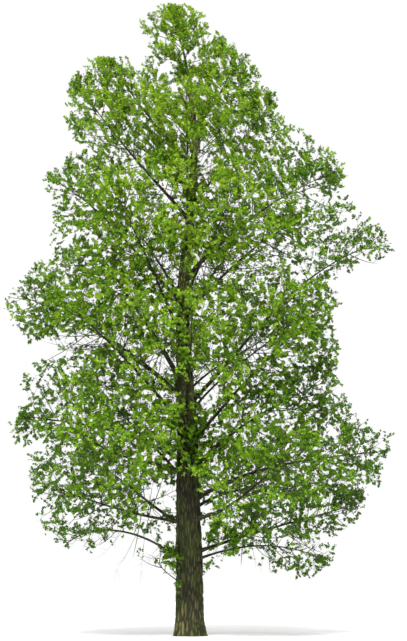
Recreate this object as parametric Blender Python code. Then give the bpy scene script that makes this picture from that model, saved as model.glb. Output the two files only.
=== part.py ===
"""Hybrid poplar, a whole tree 25 m tall, rooted in level ground.

Frame: metres, +Z up, origin at the middle of the flat cut under the trunk.
+X is to the viewer's right and +Y away from the viewer.

A limb is one curve from the trunk's axis to its tip. Its bare foot is a bough, and its leafy rest is the
stem of a mass of foliage. Each mass fills a space of its own: a full ellipsoid round its stem, shared out
with its neighbours and kept inside the crown's outline. Twigs branch off the stem by a seeded rule, and
each leaf blade on them stands for a spray.
"""

import itertools
import math
import random
from typing import NamedTuple

import bmesh
import bpy
from mathutils import Vector
from mathutils.bvhtree import BVHTree

UP = Vector((0, 0, 1))
GAP = 0.0003  # between solids that touch

# Trunk: height, sway in X and Y, radius of the stem under its bark ridges
TRUNK_STATIONS = (
    (0.0, 0.00, 0.00, 0.515),
    (2.8, -0.02, 0.00, 0.495),
    (5.2, -0.07, 0.05, 0.445),
    (7.6, -0.09, 0.04, 0.40),
    (9.6, -0.20, -0.02, 0.335),
    (13.2, -0.27, -0.06, 0.225),
    (16.6, 0.03, -0.02, 0.165),
    (19.6, 0.16, 0.06, 0.12),
    (22.2, -0.14, 0.10, 0.062),
)
FLARE = 0.13  # how far the root flare stands out at the ground
FLARE_HEIGHT = 0.42  # height in which the flare falls to about a third
BUTTRESSES = 5
BUTTRESS_DEPTH = 0.035
TRUNK_SIDES = 20
TRUNK_RINGS = 15
RINGS_CROWD_LOW = 1.6  # the trunk's rings lie closer together towards the ground

# Limbs
GIRTH_PER_LENGTH = 0.0115  # radius at a limb's foot for each metre from its foot to its tip
LIMB_TIP_RADIUS = 0.014
BEND = 0.36  # share of the chord over which a limb keeps the direction of its foot, and of its tip
SWAY = 0.05  # most of the chord that a limb swings sideways
TAPER = 0.9  # 1 would be a straight taper
BOUGH_SIDES = 6
BOUGH_RINGS = 4
STEM_SIDES = 4
STEM_RINGS = 3

# Outline of the crown, as the viewer sees it in the plane Y = 0: height, left edge, right edge
CROWN_STATIONS = (
    (2.1, 3.2, 4.2),
    (2.6, -3.2, 5.5),
    (3.3, -4.7, 5.6),
    (3.9, -5.6, 6.0),
    (4.8, -6.0, 6.8),
    (5.9, -6.1, 7.4),
    (6.8, -6.8, 7.7),
    (7.5, -7.0, 8.1),
    (8.2, -6.9, 6.6),
    (9.2, -6.4, 5.9),
    (10.1, -6.6, 5.7),
    (10.8, -5.2, 5.9),
    (11.6, -6.9, 5.7),
    (12.6, -7.15, 5.9),
    (13.6, -6.9, 5.4),
    (14.2, -6.5, 6.2),
    (14.8, -5.8, 8.1),
    (15.6, -5.3, 7.7),
    (16.5, -5.3, 6.7),
    (17.6, -6.0, 6.5),
    (18.6, -5.0, 6.1),
    (19.2, -4.7, 5.0),
    (20.0, -4.9, 3.9),
    (21.0, -5.2, 3.6),
    (22.3, -4.7, 2.8),
    (22.75, -3.7, 2.5),
    (22.95, -1.9, 2.2),
    (24.0, -2.3, 1.2),
    (25.0, -1.8, 0.1),
)
CROWN_DEPTH = 0.86  # reach towards and away from the viewer, as a share of half the crown's width
CROWN_POWER = 3.0  # 2 gives elliptic sections

EYE = Vector((0.52, -55.0, 1.7))  # the viewer's eye

# Spaces of the masses
END_ROOM = 1.2  # how far a space runs on past the ends of its stem
SPACE_POWER = 3.2  # 2 gives an ellipsoid, and more fills out its corners
INTERLACE = 0.2  # how far a leaf may cross into a neighbour's space, as a share of its size
ROOM_EXACT = 0.002  # how exactly the room in a space is measured
EDGE = 0.02  # between a leaf's tip and the edge of its space

# Twigs: the seeded rule
GOLDEN_ANGLE = 137.5
FIRST_TWIG, LAST_TWIG = 0.03, 0.96  # shares of the stem that carry twigs
TWIG_LEAN = (38, 78)  # angle off the stem
TWIG_TURNS = (0, 40, -40, 80, -80)  # tried one after another round the stem
TWIG_LIFT = 0.2  # how much each twig turns up
TWIG_RADIUS = 0.028
SHORTEST_TWIG = 0.25
CLEARANCE = 0.004  # between a twig or leaf and a limb

# Leaf blades, each standing for a spray
LEAF = 2.4
LEAF_VARIES = (0.85, 1.15)
LEAF_WIDTH = 0.86  # shares of the blade's length
LEAF_WIDEST = 0.4
LEAF_THICKNESS = 0.03
LEAF_SIZES = ((1.0, 1.0), (1.0, 0.7), (0.85, 0.85), (0.85, 0.6), (0.7, 0.7), (0.55, 0.55))  # length and width
LEAF_TRIES = 7  # with each of these shares
LEAF_FACES = (40, 140)  # turn of a blade round its length: at 90 it stands on its edge
LEAF_SHARE = 0.9  # most of the room along a twig that its tip's blade may take
LEAF_SUNK = 0.03  # how far a blade's root runs past the axis that it springs from
SIDE_LEAVES = (0.4, 0.75)  # where they sit along their twig
SIDE_LEAN = (55, 90)

JOIN_TRIES = (("EXACT", 1.0), ("MANIFOLD", 1.0), ("EXACT", 0.8))  # solver, share of the twigs and leaves

# Looks
SHARP_ANGLE = 40
BARK_COLOUR, BARK_ROUGHNESS = (0.063, 0.058, 0.036), 0.95
YOUNG_BARK_COLOUR = (0.078, 0.066, 0.045)
LEAF_COLOUR, LEAF_ROUGHNESS = (0.15, 0.24, 0.06), 0.6


class Limb(NamedTuple):
    """One limb, in metres and degrees: NAME_foliage and, where its bare foot is a part, NAME_bough."""

    name: str
    foot: float  # height at which its line leaves the trunk's axis
    bearing: float  # 0 points to +X, 90 away from the viewer
    reach: float  # from the trunk's axis out to the tip
    tip: float  # height of the tip
    rise: float = 42  # angle above level at the foot
    end: float = 40  # angle above level at the tip
    bare: float = 0.36  # share of the limb before its foliage
    across: float = 3.0  # half the width of its foliage
    depth: float = 2.6  # half the height of its foliage
    twigs: int = 7
    bough: bool = True  # False where its foliage reaches in to the trunk
    girth: float = 1.0


LIMBS = (
    # Left side, from the lowest up
    Limb("low_left", 2.45, 186, 4.7, 3.3, rise=48, end=-45, bare=0.44, across=2.15, depth=1.3),
    Limb("left_low", 4.2, 178, 5.3, 5.6, rise=6, end=20, bare=0.26, depth=2.15),
    Limb("left_rising", 5.6, 202, 3.6, 9.2, rise=50, end=50, bare=0.25, across=2.55, depth=2.25),
    Limb("left_wide", 6.4, 174, 6.1, 8.3, rise=34, end=8, bare=0.32, depth=2.6),
    Limb("left_mid", 8.9, 182, 6.1, 12.8, rise=40, end=22, bare=0.36, depth=2.25),
    Limb("left_fork", 9.3, 170, 3.7, 15.2, rise=62, end=58, bare=0.22, across=2.65, girth=1.35),
    Limb("left_high", 12.6, 186, 4.6, 17.2, rise=46, end=34, bare=0.16, depth=2.9),
    Limb(
        "left_upper", 16.0, 180, 4.0, 20.9,
        rise=50, end=56, bare=0.12, across=2.95, depth=2.9, bough=False,
    ),
    Limb(
        "shoulder", 18.0, 190, 3.2, 22.0,
        rise=52, end=56, bare=0.1, across=2.15, depth=1.7, bough=False, twigs=6,
    ),
    # Top
    Limb("leader", 22.2, 190, 0.45, 24.0, rise=80, end=70, bare=0.0, across=2.25, depth=2.15, bough=False),
    Limb("right_top", 19.6, 4, 1.7, 22.8, rise=58, end=70, bare=0.08, across=2.15, depth=1.85, bough=False),
    # Right side, from the top down
    Limb(
        "right_upper", 16.6, 2, 2.9, 20.4,
        rise=50, end=50, bare=0.12, across=2.65, depth=2.25, bough=False,
    ),
    Limb("right_high", 13.6, 6, 5.3, 17.8, rise=46, end=26, bare=0.24, depth=2.65),
    Limb("right_fork", 12.0, 348, 4.5, 16.0, rise=50, end=36, bare=0.22, across=2.75, depth=2.35),
    Limb("right_far", 8.6, 2, 6.9, 14.9, rise=44, end=22, bare=0.48, across=2.35, depth=1.85, girth=0.75),
    Limb("right_mid", 7.0, 354, 5.0, 12.2, rise=50, end=40, bare=0.36, girth=0.85, depth=2.35),
    Limb("right_inner", 6.0, 8, 5.2, 9.6, rise=48, end=24, bare=0.28, depth=2.35),
    Limb("right_wide", 4.9, 2, 7.2, 6.9, rise=34, end=6, bare=0.42, across=2.75, depth=2.3),
    Limb(
        "right_near", 5.2, 336, 4.0, 7.0,
        rise=10, end=44, bare=0.2, across=2.35, depth=1.95, bough=False,
    ),
    Limb("right_low", 3.0, 10, 6.4, 4.9, rise=20, end=16, bare=0.32, depth=2.15, girth=0.85),
    Limb(
        "low_right", 2.7, 350, 4.6, 3.0,
        rise=22, end=-20, bare=0.42, across=1.95, depth=1.3, girth=0.9,
    ),
    # Towards the viewer
    Limb("front_low_left", 6.0, 232, 5.9, 7.1, rise=12, end=26, bare=0.36),
    Limb("front_low_right", 4.3, 308, 5.9, 6.4, rise=2, end=30, bare=0.34, depth=2.25),
    Limb("front_mid_left", 7.6, 224, 5.7, 11.7, rise=44, end=32, bare=0.24, bough=False),
    Limb("front_mid", 7.9, 272, 5.3, 11.0, rise=46, end=26, bare=0.2, bough=False),
    Limb("front_mid_right", 8.2, 316, 5.6, 11.4, rise=44, end=32, bare=0.24, bough=False, girth=0.65),
    Limb("front_high_left", 11.2, 240, 4.5, 15.6, rise=50, end=46, bare=0.18, bough=False),
    Limb("front_high_right", 12.4, 296, 4.3, 16.1, rise=50, end=44, bare=0.18, bough=False),
    Limb(
        "front_upper", 15.6, 268, 2.8, 19.8,
        rise=54, end=54, bare=0.12, across=2.65, depth=2.25, bough=False,
    ),
    # Away from the viewer
    Limb("back_low_left", 4.0, 130, 5.7, 6.7, rise=22, end=26, bare=0.28),
    Limb("back_low_right", 4.5, 54, 5.8, 6.3, rise=30, end=22, bare=0.28),
    Limb("back_low", 6.6, 94, 5.8, 9.0, rise=40, end=26, bare=0.22, bough=False),
    Limb("back_mid_left", 8.8, 138, 5.5, 12.6, rise=44, end=36, bare=0.22, bough=False),
    Limb("back_mid_right", 9.1, 44, 5.4, 12.4, rise=44, end=36, bare=0.22, bough=False, girth=0.65),
    Limb("back_high_left", 12.6, 118, 4.5, 16.8, rise=50, end=44, bare=0.18, bough=False),
    Limb("back_high_right", 11.9, 62, 4.5, 16.0, rise=50, end=44, bare=0.18, bough=False),
    Limb(
        "back_upper", 16.4, 88, 2.9, 20.4,
        rise=56, end=58, bare=0.12, across=2.65, depth=2.25, bough=False,
    ),
    # Shoots straight on the trunk
    Limb(
        "trunk_sprouts", 5.6, 272, 0.95, 8.0,
        rise=50, end=72, bare=0.2, across=1.1, depth=0.9, twigs=4, bough=False,
    ),
    Limb(
        "low_sprout", 1.7, 184, 1.25, 2.8,
        rise=40, end=60, bare=0.4, across=0.7, depth=0.65, twigs=5, bough=False,
    ),
)


TRUNK_TOP = TRUNK_STATIONS[-1][0]  # the leader grows on from there


def trunk_at(height):
    """The trunk's x, y and radius at a height, on smooth curves through the stations."""
    last = len(TRUNK_STATIONS) - 1
    k = min(max(sum(station[0] <= height for station in TRUNK_STATIONS) - 1, 0), last - 1)
    a, b, c, d = (TRUNK_STATIONS[min(max(k + step, 0), last)] for step in (-1, 0, 1, 2))
    rise = c[0] - b[0]
    t = (height - b[0]) / rise
    values = []
    for p0, p1, p2, p3 in zip(a[1:], b[1:], c[1:], d[1:]):
        slope1 = rise * (p2 - p0) / (c[0] - a[0])
        slope2 = rise * (p3 - p1) / (d[0] - b[0])
        square, cube = 3 * (p2 - p1) - 2 * slope1 - slope2, 2 * (p1 - p2) + slope1 + slope2
        values.append(p1 + slope1 * t + square * t**2 + cube * t**3)
    return values


def trunk_axis(height):
    x, y, _ = trunk_at(height)
    return Vector((x, y, height))


def trunk_radius(height):
    return trunk_at(height)[2]


def trunk_way(height):
    """The direction of the trunk's axis at a height."""
    step = 0.01
    return (trunk_axis(min(height + step, TRUNK_TOP)) - trunk_axis(height - step)).normalized()


def crown_edges(height):
    """The left and right edge of the crown at a height."""
    for (low, *first), (high, *second) in itertools.pairwise(CROWN_STATIONS):
        if low <= height < high:
            share = (height - low) / (high - low)
            return [a + (b - a) * share for a, b in zip(first, second)]
    return None


def seen(point):
    """Where the viewer sees a point in the plane Y = 0: the distance to the right, and the height."""
    spread = EYE.y / (EYE.y - point.y)
    return EYE.x + (point.x - EYE.x) * spread, EYE.z + (point.z - EYE.z) * spread


def in_crown(point):
    x, z = seen(point) if point.y < 0 else (point.x, point.z)
    edges = crown_edges(z)
    if not edges:
        return False
    middle, half = sum(edges) / 2, (edges[1] - edges[0]) / 2
    across, away = (x - middle) / half, point.y / (half * CROWN_DEPTH)
    return abs(across) ** CROWN_POWER + abs(away) ** CROWN_POWER < 1


def heading(bearing, rise):
    """The unit vector at a bearing and an angle above level, both in degrees."""
    b, r = math.radians(bearing), math.radians(rise)
    return Vector((math.cos(b) * math.cos(r), math.sin(b) * math.cos(r), math.sin(r)))


class Path:
    """A limb's line, from the trunk's axis at 0 to its tip at 1, with its radius."""

    def __init__(self, limb):
        self.limb = limb
        start = trunk_axis(limb.foot)
        out = heading(limb.bearing, 0)
        tip = start + out * limb.reach
        tip.z = limb.tip
        chord = (tip - start).length
        swing = UP.cross(out) * chord * random.Random(limb.name).uniform(-SWAY, SWAY)
        foot_way = heading(limb.bearing, limb.rise)
        if limb.foot >= TRUNK_TOP:
            foot_way = trunk_way(TRUNK_TOP)
            swing = Vector()
        self.ends = (
            start,
            start + foot_way * chord * BEND + swing,
            tip - heading(limb.bearing, limb.end) * chord * BEND - swing,
            tip,
        )
        self.foot_radius = chord * GIRTH_PER_LENGTH * limb.girth
        if limb.foot >= TRUNK_TOP:
            self.foot_radius = trunk_radius(TRUNK_TOP)

    def at(self, t):
        a, b, c, d = self.ends
        s = 1 - t
        return a * s**3 + b * 3 * s * s * t + c * 3 * s * t * t + d * t**3

    def along(self, t):
        a, b, c, d = self.ends
        s = 1 - t
        return ((b - a) * s * s + (c - b) * 2 * s * t + (d - c) * t * t).normalized()

    def radius(self, t):
        return LIMB_TIP_RADIUS + (self.foot_radius - LIMB_TIP_RADIUS) * (1 - t) ** TAPER


class Space:
    """The room that a mass keeps to: a full ellipsoid round its stem, shared out with its neighbours."""

    def __init__(self, path):
        limb = path.limb
        foot, tip = path.at(limb.bare), path.at(1)
        along = (tip - foot).normalized()
        side = along.cross(UP).normalized()
        self.centre = (foot + tip) / 2
        self.axes = (along, side, side.cross(along))
        self.sizes = ((tip - foot).length / 2 + END_ROOM, limb.across, limb.depth)
        self.neighbours = []

    def share(self, point):
        """0 at the centre of the space, and 1 at its edge."""
        offset = point - self.centre
        shares = (abs(axis.dot(offset) / size) ** SPACE_POWER for size, axis in zip(self.sizes, self.axes))
        return sum(shares) ** (1 / SPACE_POWER)

    def holds(self, point):
        own = self.share(point)
        if own >= 1 or not in_crown(point):
            return False
        return all(own < other.share(point) + INTERLACE for other in self.neighbours)

    def room(self, start, way):
        """How far the space runs from a point in a direction, found by halving."""
        near, far = 0.0, 2 * max(self.sizes)
        while far - near > ROOM_EXACT:
            middle = (near + far) / 2
            if self.holds(start + way * middle):
                near = middle
            else:
                far = middle
        return near


def find_neighbours(spaces):
    """Tells each space which others come near it."""
    for first, second in itertools.combinations(spaces, 2):
        if (second.centre - first.centre).length < max(first.sizes) + max(second.sizes):
            first.neighbours.append(second)
            second.neighbours.append(first)


def new_object(name, mesh, material):
    thing = bpy.data.objects.new(name, mesh)
    bpy.context.scene.collection.objects.link(thing)
    mesh.materials.append(material)
    return thing


def shade_round(mesh):
    mesh.shade_smooth()
    mesh.set_sharp_from_angle(angle=math.radians(SHARP_ANGLE))


def mesh_of(name, points, faces):
    mesh = bpy.data.meshes.new(name)
    mesh.from_pydata([tuple(point) for point in points], [], faces)
    return mesh


def frame_round(way, side=None):
    """Two unit vectors across a direction, the first one as near to a given side as it can be."""
    side = side or (UP if abs(way.z) < 0.8 else Vector((1, 0, 0)))
    side = (side - way * side.dot(way)).normalized()
    return side, side.cross(way)


def tube(rings, sides, tip=None):
    """Points and faces of a closed tube through rings, each with its centre, its direction and its radius.

    A radius may be a function of the angle round the tube. A tip makes the tube end in that point."""
    points, faces = [], []
    side = None
    for centre, way, radius in rings:
        side, over = frame_round(way, side)
        for k in range(sides):
            angle = math.tau * k / sides
            size = radius(angle) if callable(radius) else radius
            points.append(centre + (side * math.cos(angle) + over * math.sin(angle)) * size)
    for start in range(0, (len(rings) - 1) * sides, sides):
        for k in range(sides):
            a, b = start + k, start + (k + 1) % sides
            faces += [(b, a, a + sides), (b, a + sides, b + sides)]
    last = len(points) - sides
    faces.append(tuple(range(sides)))
    if tip:
        faces += [(last + (k + 1) % sides, last + k, len(points)) for k in range(sides)]
        points.append(tip)
    else:
        faces.append(tuple(reversed(range(last, len(points)))))
    return points, faces


def blade(root, way, normal, length, width):
    """Points and faces of one leaf blade: a kite, widest near its root, and thickest there too."""
    side = way.cross(normal).normalized()
    wide = root + way * length * LEAF_WIDEST
    half_width = side * width / 2
    half_thick = side.cross(way) * length * LEAF_THICKNESS / 2
    outline = [root, wide + half_width, root + way * length, wide - half_width]
    points = [*outline, wide + half_thick, wide - half_thick]
    faces = []
    for k in range(4):
        faces.append((k, (k + 1) % 4, 4))
        faces.append(((k + 1) % 4, k, 5))
    return points, faces


def trunk_rings(outward=0.0):
    """The trunk's rings from the ground to its top, each moved outward by a distance."""

    def radius_at(height):
        flare = FLARE * math.exp(-height / FLARE_HEIGHT)
        lobes = BUTTRESS_DEPTH * math.exp(-height / (2 * FLARE_HEIGHT))
        return lambda angle: trunk_radius(height) + flare + lobes * math.cos(BUTTRESSES * angle) + outward

    rings = [(trunk_axis(0), UP, radius_at(0))]
    for k in range(1, TRUNK_RINGS):
        height = TRUNK_TOP * (k / (TRUNK_RINGS - 1)) ** RINGS_CROWD_LOW
        rings.append((trunk_axis(height), trunk_way(height), radius_at(height)))
    return rings


def clear_of_trunk(thing, cutter):
    cut = thing.modifiers.new("Clear of the trunk", "BOOLEAN")
    cut.operation = "DIFFERENCE"
    cut.object = cutter


def make_trunk(bark):
    trunk = new_object("trunk", mesh_of("trunk", *tube(trunk_rings(), TRUNK_SIDES)), bark)
    shade_round(trunk.data)


def make_cutter(bark):
    """The trunk grown by the gap, which cuts the feet of what stands on it."""
    cutter = new_object("trunk_cutter", mesh_of("trunk_cutter", *tube(trunk_rings(GAP), TRUNK_SIDES)), bark)
    cutter.hide_render = True
    cutter.display_type = "WIRE"
    return cutter


def limb_rings(path, start, end, count):
    """Rings along a stretch of a limb."""
    shares = [start + (end - start) * k / count for k in range(count + 1)]
    return [(path.at(t), path.along(t), path.radius(t)) for t in shares]


def bough_shape(path):
    return tube(limb_rings(path, 0, path.limb.bare, BOUGH_RINGS), BOUGH_SIDES)


def stem_shape(path):
    """The leafy stretch of a limb, from just past its bough's tip, or from the trunk's axis or tip."""
    rings = limb_rings(path, path.limb.bare if path.limb.bough else 0, 1, STEM_RINGS)
    foot, way, radius = rings[0]
    return tube([(foot + way * GAP, way, radius), *rings[1:]], STEM_SIDES)


def settled(thing):
    """Applies a thing's modifiers, keeps its largest body, and tells whether that is closed."""
    mesh = bpy.data.meshes.new_from_object(thing.evaluated_get(bpy.context.evaluated_depsgraph_get()))
    thing.modifiers.clear()
    closed = keep_largest_body(mesh)
    thing.data = mesh
    return closed


def make_bough(path, bark, cutter):
    name = f"{path.limb.name}_bough"
    bough = new_object(name, mesh_of(name, *bough_shape(path)), bark)
    clear_of_trunk(bough, cutter)
    if not settled(bough):
        raise RuntimeError(f"{name} does not close")
    shade_round(bough.data)


def turned(way, turn, lean):
    """A direction that leans off another one, at a turn round it, both in degrees."""
    side, over = frame_round(way)
    round_way, off = math.radians(turn), math.radians(lean)
    return way * math.cos(off) + (side * math.cos(round_way) + over * math.sin(round_way)) * math.sin(off)


class Growth:
    """The twigs and leaves of one mass, which keep to its space and off the limbs and one another.

    The grown are the search trees of what stands already in other masses."""

    def __init__(self, path, space, limbs, grown):
        self.path, self.space, self.limbs, self.grown = path, space, limbs, grown
        self.rng = random.Random(path.limb.name)
        self.stem = BVHTree.FromPolygons(*stem_shape(path))
        self.shapes, self.trees = [], [self.stem]

    def add(self, shape, host):
        """Keeps a shape if it touches nothing but the host it springs from, and gives its search tree."""
        tree = BVHTree.FromPolygons(*shape, epsilon=CLEARANCE)
        others = [self.limbs, *self.grown, *(other for other in self.trees if other is not host)]
        if any(tree.overlap(other) for other in others):
            return None
        if not all(self.space.holds(point) for point in shape[0]):
            return None
        self.shapes.append(shape)
        self.trees.append(tree)
        return tree

    def add_leaf(self, root, way, length, host):
        """Adds the first blade that fits at a root, of falling sizes and any turn."""
        for (long, wide), _ in itertools.product(LEAF_SIZES, range(LEAF_TRIES)):
            normal = turned(way, self.rng.uniform(*LEAF_FACES), 90)
            if self.add(blade(root, way, normal, length * long, length * wide * LEAF_WIDTH), host):
                return True
        return False

    def add_twig(self, foot, way):
        """Adds a twig that ends inside its tip's blade and, where there is room, blades on its sides."""
        length = LEAF * self.rng.uniform(*LEAF_VARIES)
        room = self.space.room(foot, way)
        tip_length = min(length, room * LEAF_SHARE)
        reach = room - tip_length * (1 - LEAF_WIDEST) - EDGE
        if reach < SHORTEST_TWIG:
            return False
        end = foot + way * reach
        twig = self.add(tube([(foot, way, TWIG_RADIUS)], 3, tip=end), self.stem)
        if not twig:
            return False
        if not self.add_leaf(end - way * tip_length * LEAF_WIDEST, way, tip_length, twig):
            self.shapes.pop()
            self.trees.pop()
            return False
        for share in SIDE_LEAVES:
            side_way = turned(way, self.rng.uniform(0, 360), self.rng.uniform(*SIDE_LEAN))
            self.add_leaf(foot + way * reach * share - side_way * LEAF_SUNK, side_way, length, twig)
        return True

    def grow(self):
        """A blade at the stem's tip, then twigs in turns of the golden angle down the stem."""
        path, limb, rng = self.path, self.path.limb, self.rng
        room = self.space.room(path.at(1), path.along(1))
        self.add_leaf(path.at(1) - path.along(1) * LEAF_SUNK, path.along(1), min(LEAF, room), self.stem)
        for k in range(limb.twigs):
            step = (LAST_TWIG - FIRST_TWIG) / limb.twigs
            t = limb.bare + (1 - limb.bare) * (LAST_TWIG - step * (k + rng.random()))
            for turn in TWIG_TURNS:
                way = turned(path.along(t), GOLDEN_ANGLE * k + turn, rng.uniform(*TWIG_LEAN))
                if self.add_twig(path.at(t), (way + UP * TWIG_LIFT).normalized()):
                    break
        return self.shapes


def keep_largest_body(mesh):
    """Drops a mesh's loose scraps and sealed hollows, and tells whether what is left is closed."""
    work = bmesh.new()
    work.from_mesh(mesh)
    left = set(work.verts)
    bodies = []
    while left:
        body, front = set(), [left.pop()]
        while front:
            vertex = front.pop()
            body.add(vertex)
            near = {edge.other_vert(vertex) for edge in vertex.link_edges} & left
            left -= near
            front.extend(near)
        bodies.append(body)
    bodies.sort(key=len, reverse=True)
    bmesh.ops.delete(work, geom=[vertex for body in bodies[1:] for vertex in body], context="VERTS")
    closed = all(edge.is_manifold for edge in work.edges)
    work.to_mesh(mesh)
    work.free()
    return closed


def join_pieces(mass, shapes, solver):
    """Unites an object with closed shapes, and tells whether the result is closed."""
    pieces = bpy.data.collections.new(mass.name)
    for shape in shapes:
        pieces.objects.link(bpy.data.objects.new("piece", mesh_of("piece", *shape)))
    union = mass.modifiers.new("Twigs and leaves", "BOOLEAN")
    union.operation = "UNION"
    union.operand_type = "COLLECTION"
    union.collection = pieces
    union.solver = solver
    closed = settled(mass)
    for piece in list(pieces.objects):
        bpy.data.objects.remove(piece)
    bpy.data.collections.remove(pieces)
    return closed


def make_mass(growth, leaves, cutter):
    """One mass: its stem, twigs and leaves as one closed body, with fewer leaves if it won't close."""
    path = growth.path
    name = f"{path.limb.name}_foliage"
    shapes = growth.grow()
    for solver, share in JOIN_TRIES:
        mass = new_object(name, mesh_of(name, *stem_shape(path)), leaves)
        if not path.limb.bough and path.limb.foot < TRUNK_TOP:
            clear_of_trunk(mass, cutter)
        if join_pieces(mass, shapes[: round(len(shapes) * share)], solver):
            return
        bpy.data.objects.remove(mass)
    raise RuntimeError(f"{name} does not close")


def limb_tree(shapes):
    """One search tree of many shapes."""
    points, faces = [], []
    for shape_points, shape_faces in shapes:
        faces += [tuple(len(points) + k for k in face) for face in shape_faces]
        points += shape_points
    return BVHTree.FromPolygons(points, faces, epsilon=CLEARANCE)


def plain_material(name, colour, roughness):
    material = bpy.data.materials.new(name)
    material.use_nodes = True
    shader = material.node_tree.nodes["Principled BSDF"]
    shader.inputs["Base Color"].default_value = (*colour, 1)
    shader.inputs["Roughness"].default_value = roughness
    shader.inputs["Metallic"].default_value = 0
    return material


def main():
    for thing in list(bpy.data.objects):
        bpy.data.objects.remove(thing)
    bark = plain_material("bark", BARK_COLOUR, BARK_ROUGHNESS)
    young_bark = plain_material("young_bark", YOUNG_BARK_COLOUR, BARK_ROUGHNESS)
    leaves = plain_material("leaves", LEAF_COLOUR, LEAF_ROUGHNESS)
    paths = [Path(limb) for limb in LIMBS]
    spaces = [Space(path) for path in paths]
    find_neighbours(spaces)
    make_trunk(bark)
    cutter = make_cutter(bark)
    for path in paths:
        if path.limb.bough:
            make_bough(path, young_bark, cutter)
    trunk = tube(trunk_rings(), TRUNK_SIDES)
    boughs = [bough_shape(path) for path in paths if path.limb.bough]
    grown = []
    for path, space in zip(paths, spaces):
        other_stems = [stem_shape(other) for other in paths if other is not path]
        growth = Growth(path, space, limb_tree([trunk, *boughs, *other_stems]), grown)
        make_mass(growth, leaves, cutter)
        grown += growth.trees[1:]


main()
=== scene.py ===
"""Hybrid poplar in full leaf, 25 m tall: ridged bark, boughs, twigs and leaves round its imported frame.

Frame: metres, +Z up, origin at the middle of the flat cut under the trunk. +X is to the viewer's right.

The limbs and the spaces of their foliage are those of the part's source. The seeded rule that grows its twigs
goes on here to finer wood: branches spring from a limb, twigs from branches, shoots from twigs, and leaves
from shoots. This wood keeps to the space of its mass and off the limbs, apart from short twigs on bare bark,
and the crown stays open where sky shows through.
"""

import functools
import itertools
import math
import random
from typing import NamedTuple

import bmesh
import bpy
import numpy as np
from bpy.props import FloatProperty, FloatVectorProperty, IntProperty, PointerProperty
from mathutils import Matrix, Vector, kdtree, noise


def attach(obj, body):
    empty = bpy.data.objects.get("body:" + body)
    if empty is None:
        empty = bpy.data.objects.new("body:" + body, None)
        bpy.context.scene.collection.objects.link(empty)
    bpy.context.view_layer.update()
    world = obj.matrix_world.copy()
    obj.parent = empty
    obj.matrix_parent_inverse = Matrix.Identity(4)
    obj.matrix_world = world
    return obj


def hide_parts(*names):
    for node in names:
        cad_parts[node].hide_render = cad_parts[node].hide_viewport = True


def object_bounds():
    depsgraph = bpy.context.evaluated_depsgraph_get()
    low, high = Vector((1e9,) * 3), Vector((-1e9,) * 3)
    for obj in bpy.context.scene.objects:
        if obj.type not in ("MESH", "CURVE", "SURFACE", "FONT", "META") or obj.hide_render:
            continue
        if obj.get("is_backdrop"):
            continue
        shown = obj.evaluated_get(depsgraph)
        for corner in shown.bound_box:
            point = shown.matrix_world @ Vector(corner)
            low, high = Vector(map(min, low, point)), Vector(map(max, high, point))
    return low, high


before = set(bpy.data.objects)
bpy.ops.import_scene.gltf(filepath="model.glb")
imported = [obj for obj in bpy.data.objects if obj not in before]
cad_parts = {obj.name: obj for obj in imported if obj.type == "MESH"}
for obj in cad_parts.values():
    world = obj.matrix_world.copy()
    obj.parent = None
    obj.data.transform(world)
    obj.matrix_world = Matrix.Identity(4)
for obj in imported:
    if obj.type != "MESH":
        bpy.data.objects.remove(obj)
cad_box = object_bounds()

bl_info = {
    "name": "Hybrid Poplar",
    "version": (1, 0, 0),
    "blender": (4, 5, 0),
    "location": "View3D > Sidebar > Poplar",
    "description": "Bark, boughs, twigs and leaves of a whole hybrid poplar",
    "category": "Object",
}

UP = Vector((0, 0, 1))
BODY = "root"
NOISE_SEED = 7  # fixes how the crown's outline and the bark waver

# Trunk: height, sway in X and Y, radius of the stem
TRUNK_STATIONS = (
    (0.0, 0.00, 0.00, 0.515),
    (2.8, -0.02, 0.00, 0.495),
    (5.2, -0.07, 0.05, 0.445),
    (7.6, -0.09, 0.04, 0.40),
    (9.6, -0.20, -0.02, 0.335),
    (13.2, -0.27, -0.06, 0.225),
    (16.6, 0.03, -0.02, 0.165),
    (19.6, 0.16, 0.06, 0.12),
    (22.2, -0.14, 0.10, 0.062),
)
TRUNK_TOP = TRUNK_STATIONS[-1][0]  # the leader grows on from there
FLARE = 0.13  # how far the root flare stands out at the ground
FLARE_HEIGHT = 0.42  # height in which the flare falls to about a third
BUTTRESSES = 5
BUTTRESS_DEPTH = 0.035
TRUNK_SIDES = 144
TRUNK_RINGS = 450
RINGS_CROWD_LOW = 1.35  # the trunk's rings lie closer together towards the ground

# Limbs
GIRTH_PER_LENGTH = 0.0115  # radius at a limb's foot for each metre from its foot to its tip
LIMB_TIP_RADIUS = 0.014
BEND = 0.36  # share of the chord over which a limb keeps the direction of its foot, and of its tip
SWAY = 0.05  # most of the chord that a limb swings sideways
TAPER = 0.9  # 1 would be a straight taper
LIMB_SIDES = 12
LIMB_RING_STEP = 0.1
COLLAR = 0.45  # how much wider a limb is where it leaves the trunk, as a share of its radius
COLLAR_LENGTH = 0.22

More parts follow.
